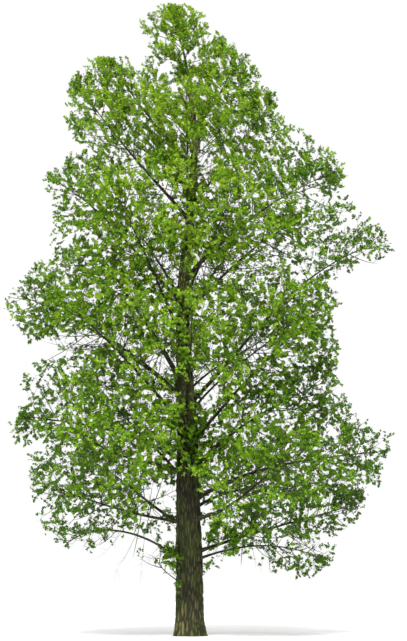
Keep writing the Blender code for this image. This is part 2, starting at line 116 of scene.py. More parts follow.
# Outline of the crown, as the viewer sees it in the plane Y = 0: height, left edge, right edge
CROWN_STATIONS = (
    (2.1, 3.2, 4.2),
    (2.6, -3.2, 5.5),
    (3.3, -4.7, 5.6),
    (3.9, -5.6, 6.0),
    (4.8, -6.0, 6.8),
    (5.9, -6.1, 7.4),
    (6.8, -6.8, 7.7),
    (7.5, -7.0, 8.1),
    (8.2, -6.9, 6.6),
    (9.2, -6.4, 5.9),
    (10.1, -6.6, 5.7),
    (10.8, -5.2, 5.9),
    (11.6, -6.9, 5.7),
    (12.6, -7.15, 5.9),
    (13.6, -6.9, 5.4),
    (14.2, -6.5, 6.2),
    (14.8, -5.8, 8.1),
    (15.6, -5.3, 7.7),
    (16.5, -5.3, 6.7),
    (17.6, -6.0, 6.5),
    (18.6, -5.0, 6.1),
    (19.2, -4.7, 5.0),
    (20.0, -4.9, 3.9),
    (21.0, -5.2, 3.6),
    (22.3, -4.7, 2.8),
    (22.75, -3.7, 2.5),
    (22.95, -1.9, 2.2),
    (24.0, -2.3, 1.2),
    (25.0, -1.8, 0.1),
)
CROWN_DEPTH = 0.86  # reach towards and away from the viewer, as a share of half the crown's width
CROWN_POWER = 3.0  # 2 gives elliptic sections

# Spaces of the masses
END_ROOM = 1.2  # how far a space runs on past the ends of its limb
SPACE_POWER = 3.2  # 2 gives an ellipsoid, and more fills out its corners
INTERLACE = 0.2  # how far fine wood may cross into a neighbour's space, as a share of its size
ROOM_EXACT = 0.02  # how exactly the room in a space is measured

# The seeded rule, as in the part's source
GOLDEN_ANGLE = 137.5
FIRST_TWIG, LAST_TWIG = 0.03, 0.96  # where branches start and end on the leafy part of a limb
TWIG_LEAN = (38, 78)  # angle off the wood that carries it
INNER_LEAN = 30  # how much further the lowest branches of a limb lean, back to the trunk
TWIG_LIFT = 0.2  # how much each twig turns up
CLEARANCE = 0.03  # between fine wood and a limb
STEEP = 0.8  # a direction that rises more than this takes +X and not up as its guide across

# The viewer's eye and the plane of the picture, which is Y = 0
EYE = Vector((0.52, -55.0, 1.7))
CAMERA_TILT = 10.594  # degrees above level
LENS = 80.83  # focal length and width of the sensor, in millimetres
SENSOR = 36.0


class Gap(NamedTuple):
    """An opening in the crown, as the viewer sees it in the plane Y = 0, in metres and degrees."""

    x: float
    z: float
    half_width: float
    half_height: float
    slope: float = 0.0  # turns the opening's width up towards +X
    nearer: float = math.inf  # only what is nearer to the viewer than this Y is left out
    open: float = 0.94  # share of the shoots that are left out


GAPS = (
    # Sky inside the crown
    Gap(-2.15, 23.1, 0.35, 0.9),
    Gap(-0.75, 17.0, 0.95, 0.27, slope=-50),
    Gap(-1.5, 16.7, 0.8, 0.3, slope=-55, open=0.6),
    Gap(-0.95, 14.2, 0.85, 0.38, slope=-50),
    Gap(0.4, 14.1, 0.25, 0.45),
    Gap(0.7, 18.7, 0.3, 1.0),
    Gap(-1.15, 10.3, 0.65, 0.6),
    Gap(-2.55, 11.4, 0.3, 0.6, open=0.8),
    Gap(0.7, 9.6, 0.45, 0.9),
    Gap(2.6, 10.9, 0.6, 0.7, slope=20),
    Gap(-1.2, 5.2, 0.65, 0.75, open=0.9),
    Gap(-4.8, 11.1, 1.5, 0.48, slope=12),
    Gap(3.1, 14.2, 2.1, 0.8, slope=8, open=0.75),
    Gap(-2.6, 2.9, 1.8, 0.95),
    Gap(-4.4, 3.55, 0.8, 0.35, open=0.85),
    Gap(2.2, 2.4, 1.2, 0.65),
    Gap(4.4, 3.35, 1.2, 0.42, open=0.8),
    Gap(6.5, 15.2, 1.3, 0.8, slope=-15, open=0.4),
    Gap(-5.5, 17.2, 0.4, 0.9, open=0.6),
    Gap(1.5, 17.0, 0.35, 0.3, open=0.5),
    # Bare wood that shows in front of the crown
    Gap(0.0, 4.5, 0.5, 1.35, nearer=0.0),
    Gap(-0.1, 8.3, 0.3, 0.5, nearer=-0.2, open=0.7),
    Gap(-0.15, 9.4, 0.4, 0.7, nearer=-0.2, open=0.85),
    Gap(2.2, 11.0, 2.3, 0.15, slope=47, nearer=-0.2, open=0.85),
    Gap(-0.75, 10.6, 1.0, 0.15, slope=-58, nearer=0.0, open=0.85),
    Gap(0.8, 8.1, 0.75, 0.15, slope=50, nearer=0.0, open=0.85),
    Gap(-0.25, 13.9, 0.3, 0.5, nearer=-0.2),
    Gap(0.3, 18.6, 0.15, 0.9, nearer=0.0),
)
GAPS_PER_METRE = 1.7  # scale of the ragged edge of a gap, and how far it strays
GAP_RAGGED = 1.3
SPECKS_PER_METRE = 5.5  # scale of the small openings all over the crown
SPECK_FROM = 0.1  # where a noise from -1 to 1 is higher than this level, there is one
SPECKS_FEWER_UP = 0.005  # added to the level for each metre up, and for each metre out from the trunk
SPECKS_FEWER_OUT = 0.012
SPECKS_FEWER_TOP = 0.025  # added for each metre up in the upper crown
SPECK_CORE = 0.16  # added where shoots are left out too, and not leaves alone
SPECK_OPEN = 0.95  # share of the leaves or shoots that are left out
SPECKS_LEAN = 0.5  # how far the openings lean to the left for each metre up in the upper crown
SPECKS_STRETCH = 0.55  # share by which height counts less there, which draws them out that way
PATCHES_PER_METRE = 1.4  # scale of the patches in which they crowd, and how much they do
PATCHES_CROWD = 0.35

# Fine wood that grows on from the source's rule
OUTLINE_WAVES = 1.2  # waves of the crown's ragged outline in a metre, and how far it strays
OUTLINE_STRAY = 0.32
EDGE = 0.05  # between a shoot's tip and the edge of its space, which its leaves fill
RAGGED = 0.8  # how much further from that edge a branch may end
SHORTEST_TWIG = 0.12
BARE_FOOT = 0.16  # share of a branch or twig that carries nothing
TIP_LEAN = 32  # how far the wood at a tip may bend off
TIP_BRANCHES = 5  # on each limb's tip
LENGTH_VARIES = (0.72, 1.22)
TWIGS_SHORTEN = 0.45  # how much shorter a twig is at a branch's tip than at its foot
SAG = 0.05  # of the length, at the middle of a branch or twig
BRANCH_STEPS = 4  # straight lengths in a branch and in a twig
TWIG_STEPS = 2
WOOD_RADII = ((0.019, 0.006), (0.008, 0.0035), (0.0045, 0.002))  # branches, twigs and shoots, foot and tip
WOOD_SIDES = (4, 3, 3)
SPROUT_REACH = 2.0  # shorter limbs are sprouts, which are leafy all over
SPROUT_LENGTH = 0.45  # of the twigs straight on the trunk, and their angle above level
SPROUT_RISE = (10, 60)
CLUMPS_PER_METRE = 1.1  # scale of the clumps that the twigs stand in
CLUMP_FLOOR = -0.15  # where a noise from -1 to 1 is lower, there are no twigs
INNER_CROWN = 1.2  # nearer to the trunk than this, low twigs are fewer
INNER_SHARE = 0.5
INNER_TO = 10.5  # the height up to which that holds
UPPER_FROM = 17.0  # from here up, twigs lean more and more up and to the left, over the height that follows
UPPER_SPAN = 6.0
UPPER_LEAN = Vector((-0.12, 0, 0.6))
TOP_FROM = 17.0  # limbs whose tips are higher make the top of the crown

# Leaves: a blade's corners, as shares of its length along it, its width across it and its length out of it
LEAF_OUTLINE = (
    (0.0, 0.0, 0.0),
    (0.34, 0.5, 0.09),
    (1.0, 0.0, 0.0),
    (0.34, -0.5, 0.09),
)
LEAF_FACES = ((2, 1, 0), (3, 2, 0))
LEAF_LEAN = (40, 85)  # angle off the shoot, and the share of it that the leaf at the tip keeps
TIP_LEAF_LEAN = 0.6
LEAF_START = 0.8  # place of the first leaf on a shoot, in spacings
TIP_LEAVES = 2  # more on each shoot than its length asks for
LEAF_DROOP = 0.35
LEAF_TWIST = 55  # usual turn of a blade away from facing up
LEAF_TONES = 7
LEAF_TONE_VARIES = 1.3  # usual tones between the leaves of one spray
SPRAY_TONES = (1, 5)  # least and greatest tone of a spray, before what follows
CROWN_RADIUS = 6.5  # how far out from the trunk what follows counts in full
# Painted light and shade in the sprays' tones: the sunny side is painted brighter, partly as the paler colour
# of sun leaves, and the other side darker; the far sides and the lower crown are painted darker as shade, and
# the top lighter
SUNNY_TONES = 3.2  # how much brighter sprays are on the sunny side of the crown, and darker on the other
SIDE_TONES = 1.9  # how much darker they are far out to the sides
HIGH_TONES = 2.8  # how much darker they are at the ground than at the height that follows
HIGH_FROM = 17.0

# Bark
BARK_WIDTH = (0.02, 0.14)  # width of a ridge, and its growth with the wood's radius
FURROW_STRETCH = 8.0  # how much longer than wide a ridge is
FURROW_SHARE = 0.45  # width of a furrow's side, as a share of a ridge
FURROW_WAVER = 0.6  # how far a ridge strays sideways, and how many times in its own width
WAVERS_PER_WIDTH = 0.25
BARK_MIDDLE = 0.6  # the height of the bark that lies on the stem's own radius
SEAM_MERGE = 0.0002  # points that are nearer together than this become one

# Finish of the bark, with painted light and shade: the brightness of the trunk and of the limbs by their
# share of a height, painted darker where the crown shades them and painted lighter where leaves shade them
PAINTED_LIGHT_HEIGHT = 20.0
TRUNK_PAINTED_LIGHT = (
    (0.0, 1.35), (0.05, 0.8), (0.075, 0.42), (0.13, 0.48), (0.26, 0.48), (0.36, 0.6),
    (0.41, 1.9), (0.47, 2.8), (0.53, 1.5), (0.62, 1.8), (0.68, 4.2),
)
# Painted shade on the limbs: darker low down and lighter towards the top of the crown, by their share of a
# height
LIMBS_PAINTED_LIGHT = ((0.0, 0.55), (0.4, 0.7), (1.0, 1.1))
# The bark is darker towards its furrows, partly as its own colour and partly as painted shade in the furrows
RIDGE_FOOT = (0.45, 0.45)  # height on a ridge, and the share of its colour that it has there
STREAKS = 0.22  # scale of the weather and the fibres along the wood, as a share of that across it
WEATHER_SCALE = 14
WEATHER = ((0.3, (0.55, 0.5, 0.45)), (0.7, (1.35, 1.35, 1.35)))  # places in its noise, and tints
FIBRE_SCALE = 55
FIBRE_DEPTH = 0.006
MOSS_SCALE = 1.6  # scale of its patches, and of their grain
MOSS_GRAIN = 30
MOSS_TINTS = ((0.3, 0.5), (0.7, 1.0))  # places in the noise of its grain, and brightness
MOSS_EDGE = (0.62, 0.75)  # places in its noise where moss starts and is full, if its share is 0
MOSS_SPREADS = 0.3  # how far a full share lowers them
# The moss is darker low on a ridge and deep in a furrow: painted shade
MOSS_ON_RIDGES = ((0.0, 0.42), (0.6, 0.9), (1.0, 1.15))  # height on a ridge, and brightness
ROUGH_SCALE = 22
ROUGHNESS = (0.8, 0.98)

SUN_FROM = Vector((-0.1, -0.9, 0.95))  # where the soft light stands, as seen from the tree


class DeadTwig(NamedTuple):
    """A bare twig that hangs from a limb, in metres and degrees."""

    limb: str
    share: float  # of the limb's length, from its foot
    bearing: float
    rise: float
    length: float


class TrunkShoots(NamedTuple):
    """A stretch of the trunk with short leafy twigs straight on its bark, in metres and degrees."""

    low: float
    high: float
    bearing: float
    spread: float  # most turn round the trunk from the bearing
    per_metre: int


class FootShoots(NamedTuple):
    """Short leafy twigs straight on the bare foot of a limb, between two shares of its length."""

    limb: str
    low: float
    high: float
    per_metre: int


DEAD_TWIGS = (
    DeadTwig("low_left", 0.2, 205, -22, 0.8),
    DeadTwig("low_left", 0.26, 170, -40, 0.6),
    DeadTwig("low_left", 0.38, 180, -84, 1.3),
    DeadTwig("low_left", 0.44, 196, -60, 1.5),
    DeadTwig("low_left", 0.54, 182, -50, 1.0),
    DeadTwig("low_right", 0.45, 350, -48, 0.9),
    DeadTwig("low_right", 0.6, 345, -60, 0.8),
)
DEAD_SPACING = 0.3  # between its bare side twigs, with their usual length and how much they turn down
DEAD_SIDE_LENGTH = 0.42
DEAD_DROP = 0.4
TRUNK_SHOOTS = (
    TrunkShoots(1.6, 3.1, 184, 60, 18),
    TrunkShoots(2.2, 2.7, 0, 30, 14),
    TrunkShoots(5.9, 7.8, 272, 110, 58),
    TrunkShoots(8.8, 9.9, 270, 180, 10),
    TrunkShoots(9.9, 13.4, 270, 110, 30),
    TrunkShoots(14.5, 17.4, 270, 130, 40),
    TrunkShoots(19.4, 22.2, 270, 180, 26),
)
FOOT_SHOOTS = (
    FootShoots("low_left", 0.1, 0.3, 5),
    FootShoots("left_low", 0.1, 0.3, 8),
    FootShoots("left_mid", 0.15, 0.4, 12),
    FootShoots("right_low", 0.1, 0.36, 18),
    FootShoots("low_right", 0.14, 0.42, 14),
)
FOOT_TURN = 90  # most turn of such a twig round its limb from straight up, and its angle off the limb
FOOT_LEAN = 60
FOOT_LENGTH = 0.9


class Limb(NamedTuple):
    """One limb, in metres and degrees: NAME_foliage and, where its bare foot is a part, NAME_bough."""

    name: str
    foot: float  # height at which its line leaves the trunk's axis
    bearing: float  # 0 points to +X, 90 away from the viewer
    reach: float  # from the trunk's axis out to the tip
    tip: float  # height of the tip
    rise: float  # angle above level at the foot
    end: float  # angle above level at the tip
    bare: float  # share of the limb before its foliage
    across: float = 3.0  # half the width of its foliage
    depth: float = 2.6  # half the height of its foliage
    bough: bool = True  # False where its foliage reaches in to the trunk
    girth: float = 1.0


LIMBS = (
    # Left side, from the lowest up
    Limb("low_left", 2.45, 186, 4.7, 3.3, rise=48, end=-45, bare=0.44, across=2.15, depth=1.3),
    Limb("left_low", 4.2, 178, 5.3, 5.6, rise=6, end=20, bare=0.26, depth=2.15),
    Limb("left_rising", 5.6, 202, 3.6, 9.2, rise=50, end=50, bare=0.25, across=2.55, depth=2.25),
    Limb("left_wide", 6.4, 174, 6.1, 8.3, rise=34, end=8, bare=0.32),
    Limb("left_mid", 8.9, 182, 6.1, 12.8, rise=40, end=22, bare=0.36, depth=2.25),
    Limb("left_fork", 9.3, 170, 3.7, 15.2, rise=62, end=58, bare=0.22, across=2.65, girth=1.35),
    Limb("left_high", 12.6, 186, 4.6, 17.2, rise=46, end=34, bare=0.16, depth=2.9),
    Limb("left_upper", 16.0, 180, 4.0, 20.9, rise=50, end=56, bare=0.12, across=2.95, depth=2.9, bough=False),
    Limb("shoulder", 18.0, 190, 3.2, 22.0, rise=52, end=56, bare=0.1, across=2.15, depth=1.7, bough=False),
    # Top
    Limb("leader", 22.2, 190, 0.45, 24.0, rise=80, end=70, bare=0.0, across=2.25, depth=2.15, bough=False),
    Limb("right_top", 19.6, 4, 1.7, 22.8, rise=58, end=70, bare=0.08, across=2.15, depth=1.85, bough=False),
    # Right side, from the top down
    Limb("right_upper", 16.6, 2, 2.9, 20.4, rise=50, end=50, bare=0.12, across=2.65, depth=2.25, bough=False),
    Limb("right_high", 13.6, 6, 5.3, 17.8, rise=46, end=26, bare=0.24, depth=2.65),
    Limb("right_fork", 12.0, 348, 4.5, 16.0, rise=50, end=36, bare=0.22, across=2.75, depth=2.35),
    Limb("right_far", 8.6, 2, 6.9, 14.9, rise=44, end=22, bare=0.48, across=2.35, depth=1.85, girth=0.75),
    Limb("right_mid", 7.0, 354, 5.0, 12.2, rise=50, end=40, bare=0.36, girth=0.85, depth=2.35),
    Limb("right_inner", 6.0, 8, 5.2, 9.6, rise=48, end=24, bare=0.28, depth=2.35),
    Limb("right_wide", 4.9, 2, 7.2, 6.9, rise=34, end=6, bare=0.42, across=2.75, depth=2.3),
    Limb("right_near", 5.2, 336, 4.0, 7.0, rise=10, end=44, bare=0.2, across=2.35, depth=1.95, bough=False),
    Limb("right_low", 3.0, 10, 6.4, 4.9, rise=20, end=16, bare=0.32, depth=2.15, girth=0.85),
    Limb("low_right", 2.7, 350, 4.6, 3.0, rise=22, end=-20, bare=0.42, across=1.95, depth=1.3, girth=0.9),
    # Towards the viewer
    Limb("front_low_left", 6.0, 232, 5.9, 7.1, rise=12, end=26, bare=0.36),
    Limb("front_low_right", 4.3, 308, 5.9, 6.4, rise=2, end=30, bare=0.34, depth=2.25),
    Limb("front_mid_left", 7.6, 224, 5.7, 11.7, rise=44, end=32, bare=0.24, bough=False),
    Limb("front_mid", 7.9, 272, 5.3, 11.0, rise=46, end=26, bare=0.2, bough=False),
    Limb("front_mid_right", 8.2, 316, 5.6, 11.4, rise=44, end=32, bare=0.24, bough=False, girth=0.65),
    Limb("front_high_left", 11.2, 240, 4.5, 15.6, rise=50, end=46, bare=0.18, bough=False),
    Limb("front_high_right", 12.4, 296, 4.3, 16.1, rise=50, end=44, bare=0.18, bough=False),
    Limb(
        "front_upper", 15.6, 268, 2.8, 19.8,
        rise=54, end=54, bare=0.12, across=2.65, depth=2.25, bough=False,
    ),
    # Away from the viewer
    Limb("back_low_left", 4.0, 130, 5.7, 6.7, rise=22, end=26, bare=0.28),
    Limb("back_low_right", 4.5, 54, 5.8, 6.3, rise=30, end=22, bare=0.28),
    Limb("back_low", 6.6, 94, 5.8, 9.0, rise=40, end=26, bare=0.22, bough=False),
    Limb("back_mid_left", 8.8, 138, 5.5, 12.6, rise=44, end=36, bare=0.22, bough=False),
    Limb("back_mid_right", 9.1, 44, 5.4, 12.4, rise=44, end=36, bare=0.22, bough=False, girth=0.65),
    Limb("back_high_left", 12.6, 118, 4.5, 16.8, rise=50, end=44, bare=0.18, bough=False),
    Limb("back_high_right", 11.9, 62, 4.5, 16.0, rise=50, end=44, bare=0.18, bough=False),
    Limb("back_upper", 16.4, 88, 2.9, 20.4, rise=56, end=58, bare=0.12, across=2.65, depth=2.25, bough=False),
    # Shoots straight on the trunk
    Limb("trunk_sprouts", 5.6, 272, 0.95, 8.0, rise=50, end=72, bare=0.2, across=1.1, depth=0.9, bough=False),
    Limb("low_sprout", 1.7, 184, 1.25, 2.8, rise=40, end=60, bare=0.4, across=0.7, depth=0.65, bough=False),
)


def trunk_at(height):
    """The trunk's x, y and radius at a height, on smooth curves through the stations."""
    last = len(TRUNK_STATIONS) - 1
    k = min(max(sum(station[0] <= height for station in TRUNK_STATIONS) - 1, 0), last - 1)
    a, b, c, d = (TRUNK_STATIONS[min(max(k + step, 0), last)] for step in (-1, 0, 1, 2))
    rise = c[0] - b[0]
    t = (height - b[0]) / rise
    values = []
    for p0, p1, p2, p3 in zip(a[1:], b[1:], c[1:], d[1:]):
        slope1 = rise * (p2 - p0) / (c[0] - a[0])
        slope2 = rise * (p3 - p1) / (d[0] - b[0])
        square, cube = 3 * (p2 - p1) - 2 * slope1 - slope2, 2 * (p1 - p2) + slope1 + slope2
        values.append(p1 + slope1 * t + square * t**2 + cube * t**3)
    return values


def trunk_axis(height):
    x, y, _ = trunk_at(height)
    return Vector((x, y, height))


def trunk_radius(height):
    return trunk_at(height)[2]


def trunk_way(height):
    """The direction of the trunk's axis at a height."""
    step = 0.01
    return (trunk_axis(min(height + step, TRUNK_TOP)) - trunk_axis(height - step)).normalized()


def crown_edges(height):
    """The left and right edge of the crown at a height."""
    for (low, *first), (high, *second) in itertools.pairwise(CROWN_STATIONS):
        if low <= height < high:
            share = (height - low) / (high - low)
            return [a + (b - a) * share for a, b in zip(first, second)]
    return None


def seen(point):
    """Where the viewer sees a point in the plane Y = 0: the distance to the right, and the height."""
    spread = EYE.y / (EYE.y - point.y)
    return EYE.x + (point.x - EYE.x) * spread, EYE.z + (point.z - EYE.z) * spread


def in_crown(point):
    x, z = seen(point) if point.y < 0 else (point.x, point.z)
    edges = crown_edges(z)
    if not edges:
        return False
    middle, half = sum(edges) / 2, (edges[1] - edges[0]) / 2
    across, away = (x - middle) / half, point.y / (half * CROWN_DEPTH)
    return abs(across) ** CROWN_POWER + abs(away) ** CROWN_POWER < 1


def heading(bearing, rise):
    """The unit vector at a bearing and an angle above level, both in degrees."""
    b, r = math.radians(bearing), math.radians(rise)
    return Vector((math.cos(b) * math.cos(r), math.sin(b) * math.cos(r), math.sin(r)))


class Path:
    """A limb's line, from the trunk's axis at 0 to its tip at 1, with its radius."""

    def __init__(self, limb):
        self.limb = limb
        start = trunk_axis(limb.foot)
        out = heading(limb.bearing, 0)
        tip = start + out * limb.reach
        tip.z = limb.tip
        chord = (tip - start).length
        swing = UP.cross(out) * chord * random.Random(limb.name).uniform(-SWAY, SWAY)
        foot_way = heading(limb.bearing, limb.rise)
        if limb.foot >= TRUNK_TOP:
            foot_way = trunk_way(TRUNK_TOP)
            swing = Vector()
        self.ends = (
            start,
            start + foot_way * chord * BEND + swing,
            tip - heading(limb.bearing, limb.end) * chord * BEND - swing,
            tip,
        )
        self.foot_radius = chord * GIRTH_PER_LENGTH * limb.girth
        if limb.foot >= TRUNK_TOP:
            self.foot_radius = trunk_radius(TRUNK_TOP)

    def at(self, t):
        a, b, c, d = self.ends
        s = 1 - t
        return a * s**3 + b * 3 * s * s * t + c * 3 * s * t * t + d * t**3

    def along(self, t):
        a, b, c, d = self.ends
        s = 1 - t
        return ((b - a) * s * s + (c - b) * 2 * s * t + (d - c) * t * t).normalized()

    def radius(self, t):
        return LIMB_TIP_RADIUS + (self.foot_radius - LIMB_TIP_RADIUS) * (1 - t) ** TAPER


def even_shares(path):
    """Shares of a limb's path for rings that lie about evenly along it."""
    count = math.ceil((path.at(1) - path.at(0)).length / LIMB_RING_STEP)
    return [k / count for k in range(count + 1)]


class Space:
    """The room that a mass keeps to: a full ellipsoid round its stem, shared out with its neighbours."""

    def __init__(self, path):
        limb = path.limb
        foot, tip = path.at(limb.bare), path.at(1)
        along = (tip - foot).normalized()
        side = along.cross(UP).normalized()
        self.centre = (foot + tip) / 2
        self.axes = (along, side, side.cross(along))
        self.sizes = ((tip - foot).length / 2 + END_ROOM, limb.across, limb.depth)
        self.neighbours = []

    def share(self, point):
        """0 at the centre of the space, and 1 at its edge."""
        offset = point - self.centre
        shares = (abs(axis.dot(offset) / size) ** SPACE_POWER for size, axis in zip(self.sizes, self.axes))
        return sum(shares) ** (1 / SPACE_POWER)

    def holds(self, point):
        own = self.share(point)
        if own >= 1 or not in_crown(point + noise.noise_vector(point * OUTLINE_WAVES) * OUTLINE_STRAY):
            return False
        return all(own < other.share(point) + INTERLACE for other in self.neighbours)

    def room(self, start, way):
        """How far the space runs from a point in a direction, found by halving."""
        near, far = 0.0, 2 * max(self.sizes)
        while far - near > ROOM_EXACT:
            middle = (near + far) / 2
            if self.holds(start + way * middle):
                near = middle
            else:
                far = middle
        return near


class OpenAir:
    """The room of what is too short to reach the crown's edge."""

    def room(self, _start, _way):
        return math.inf


def find_neighbours(spaces):
    """Tells each space which others come near it."""
    for first, second in itertools.combinations(spaces, 2):
        if (second.centre - first.centre).length < max(first.sizes) + max(second.sizes):
            first.neighbours.append(second)
            second.neighbours.append(first)


def in_speck(across, height, margin=0.0):
    """Whether the viewer sees one of the small openings there."""
    above = max(height - UPPER_FROM, 0)
    place = Vector((across + SPECKS_LEAN * above, 0, height - SPECKS_STRETCH * above))
    level = SPECK_FROM + SPECKS_FEWER_UP * height + SPECKS_FEWER_OUT * abs(across) + margin
    level += SPECKS_FEWER_TOP * above
    patch = noise.noise(place * PATCHES_PER_METRE) * PATCHES_CROWD
    return noise.noise(place * SPECKS_PER_METRE) > level - patch


def openness(point):
    """The share of the shoots that are left out at a point, for the openings of the crown."""
    across, height = seen(point)
    ragged = 1 + GAP_RAGGED * noise.noise(Vector((across, 0, height)) * GAPS_PER_METRE)
    share = SPECK_OPEN if in_speck(across, height, SPECK_CORE) else 0
    for gap in GAPS:
        cosine, sine = math.cos(math.radians(gap.slope)), math.sin(math.radians(gap.slope))
        right, rise = across - gap.x, height - gap.z
        along = (right * cosine + rise * sine) / gap.half_width
        off = (rise * cosine - right * sine) / gap.half_height
        if along**2 + off**2 < ragged and point.y < gap.nearer:
            share = max(share, gap.open)
    return share


def frame_round(way, side=None):
    """Two unit vectors across a direction, the first one as near to a given side as it can be."""
    side = side or (UP if abs(way.z) < STEEP else Vector((1, 0, 0)))
    side = (side - way * side.dot(way)).normalized()
    return side, side.cross(way)


def turned(way, turn, lean):
    """A direction that leans off another one, at a turn round it, both in degrees."""
    side, over = frame_round(way)
    round_way, off = math.radians(turn), math.radians(lean)
    return way * math.cos(off) + (side * math.cos(round_way) + over * math.sin(round_way)) * math.sin(off)


def point_on(line, share):
    """The point at a share of the way along a line of evenly spaced points."""
    place = share * (len(line) - 1)
    start = min(int(place), len(line) - 2)
    return line[start].lerp(line[start + 1], place - start)


def bowed(foot, way, length, count):
    """A line of points from a foot, which sags a little and turns up to its tip."""
    tip = foot + way * length
    sag = UP * length * SAG * 4
    return [foot.lerp(tip, k / count) - sag * (k / count) * (1 - k / count) for k in range(count + 1)]


class Limbs:
    """The middles of all limbs in a search tree, to tell what is too near to one."""

    def __init__(self, paths):
        rings = [(path.at(t), path.radius(t)) for path in paths for t in even_shares(path)]
        self.radii = [radius for _, radius in rings]
        self.tree = kdtree.KDTree(len(rings))
        for index, (place, _) in enumerate(rings):
            self.tree.insert(place, index)
        self.tree.balance()

    def touch(self, point):
        height = min(max(point.z, 0), TRUNK_TOP)
        if (point - trunk_axis(height)).length < trunk_radius(height) + CLEARANCE:
            return True
        _, index, distance = self.tree.find(point)
        return distance < self.radii[index] + CLEARANCE


class TwigSizes(NamedTuple):
    """What a user may change about the fine wood, in metres."""

    branch_spacing: float
    twig_spacing: float
    twig_length: float
    shoot_spacing: float
    shoot_length: float


class Shoot(NamedTuple):
    """A leafy shoot, with the tone of the spray that it belongs to."""

    foot: Vector
    tip: Vector
    tone: float


class Growth:
    """The branches, twigs and shoots of one mass, which keep to its space and off the limbs."""

    def __init__(self, path, space, limbs, sizes):
        self.path, self.space, self.limbs, self.sizes = path, space, limbs, sizes
        self.rng = random.Random(path.limb.name)
        self.branches, self.twigs, self.shoots, self.dead = [], [], [], []

    def reach(self, foot, way, wanted):
        """How far fine wood may run, or 0 where it has no room or meets a limb."""
        length = min(wanted, self.space.room(foot, way) - EDGE)
        if length < SHORTEST_TWIG:
            return 0
        tip = foot + way * length
        if self.limbs.touch(foot.lerp(tip, 0.5)) or self.limbs.touch(tip):
            return 0
        return length

    def lifted(self, way, height, share=1):
        """A direction turned up and, near the top of the tree, up and to the left."""
        upper = share * min(max((height - UPPER_FROM) / UPPER_SPAN, 0), 1)
        return (way + UP * TWIG_LIFT + UPPER_LEAN * upper).normalized()

    def offshoots(self, line, spacing):
        """The feet and directions of what springs from a line: one at its tip, the others below it."""
        along = line[-1] - line[0]
        count = max(1, round(along.length * (1 - BARE_FOOT) / spacing))
        along.normalize()
        start = self.rng.uniform(0, 360)
        yield line[-1], turned(along, start, self.rng.uniform(0, TIP_LEAN)), 1
        for k in range(count):
            share = 1 - (1 - BARE_FOOT) * (k + self.rng.random()) / count
            way = turned(along, start + GOLDEN_ANGLE * k, self.rng.uniform(*TWIG_LEAN))
            yield point_on(line, share), self.lifted(way, line[-1].z), share

    def grow_shoot(self, foot, way, tone):
        length = self.reach(foot, way, self.sizes.shoot_length * self.rng.uniform(*LENGTH_VARIES))
        tip = foot + way * length
        if not length or self.rng.random() < openness(tip):
            return False
        self.shoots.append(Shoot(foot, tip, tone))
        return True

    def too_thick(self, tip):
        """Whether a twig is left out, because it ends between clumps or too near to the bare trunk."""
        if self.path.limb.reach < SPROUT_REACH:
            return False
        if noise.noise(tip * CLUMPS_PER_METRE) < CLUMP_FLOOR:
            return True
        inner = math.hypot(*tip.xy) / INNER_CROWN if tip.z < INNER_TO else 1
        return self.rng.random() > max(inner, INNER_SHARE)

    def grow_twig(self, foot, way, wanted):
        length = self.reach(foot, way, wanted * self.rng.uniform(*LENGTH_VARIES))
        tip = foot + way * length
        if not length or self.too_thick(tip):
            return False
        line = bowed(foot, way, length, TWIG_STEPS)
        # The spray's tone: a random tone, with painted light on the sunny side and painted shade on the shady
        # side, far out to the sides and low down
        sunny = Vector((tip.x, tip.y, 0)).dot(SUN_FROM.normalized()) / CROWN_RADIUS
        high = tip.z / HIGH_FROM - 1
        side = abs(tip.x) / CROWN_RADIUS
        tone = self.rng.uniform(*SPRAY_TONES) + SUNNY_TONES * sunny + HIGH_TONES * high - SIDE_TONES * side
        offshoots = self.offshoots(line, self.sizes.shoot_spacing)
        leafy = sum([self.grow_shoot(shoot_foot, shoot_way, tone) for shoot_foot, shoot_way, _ in offshoots])
        if leafy:
            self.twigs.append(line)
        return leafy > 0

    def grow_branch(self, foot, way):
        length = self.reach(foot, way, self.space.room(foot, way) - self.rng.uniform(0, RAGGED))
        if not length:
            return
        line = bowed(foot, way, length, BRANCH_STEPS)
        wanted = self.sizes.twig_length
        leafy = sum([
            self.grow_twig(twig_foot, twig_way, wanted * (1 - TWIGS_SHORTEN * share))
            for twig_foot, twig_way, share in self.offshoots(line, self.sizes.twig_spacing)
        ])
        if leafy:
            self.branches.append(line)

    def grow_dead_twig(self, twig):
        """A hanging twig with bare side twigs."""
        foot = self.path.at(twig.share)
        line = bowed(foot, heading(twig.bearing, twig.rise), twig.length, TWIG_STEPS)
        self.twigs.append(line)
        for side_foot, way, _ in self.offshoots(line, DEAD_SPACING):
            way = (way - UP * DEAD_DROP).normalized()
            side_tip = side_foot + way * DEAD_SIDE_LENGTH * self.rng.uniform(*LENGTH_VARIES)
            self.dead.append((side_foot, side_tip))

    def grow_on_trunk(self, stretch):
        """Short leafy twigs straight on the trunk's bark."""
        rng = self.rng
        for _ in range(round((stretch.high - stretch.low) * stretch.per_metre)):
            height = rng.uniform(stretch.low, stretch.high)
            bearing = stretch.bearing + rng.uniform(-stretch.spread, stretch.spread)
            foot = trunk_axis(height) + heading(bearing, 0) * trunk_radius(height)
            self.grow_twig(foot, heading(bearing, rng.uniform(*SPROUT_RISE)), SPROUT_LENGTH)

    def grow_on_foot(self, stretch):
        """Short leafy twigs that stand up from the bare foot of the limb, outside its space."""
        path, rng = self.path, random.Random(self.path.limb.name)
        own, self.space = self.space, OpenAir()
        length = (path.at(stretch.high) - path.at(stretch.low)).length
        for _ in range(round(length * stretch.per_metre)):
            t = rng.uniform(stretch.low, stretch.high)
            along = path.along(t)
            foot = path.at(t) + frame_round(along)[0] * path.radius(t)
            self.grow_twig(foot, turned(along, rng.uniform(-FOOT_TURN, FOOT_TURN), FOOT_LEAN), FOOT_LENGTH)
        self.space = own

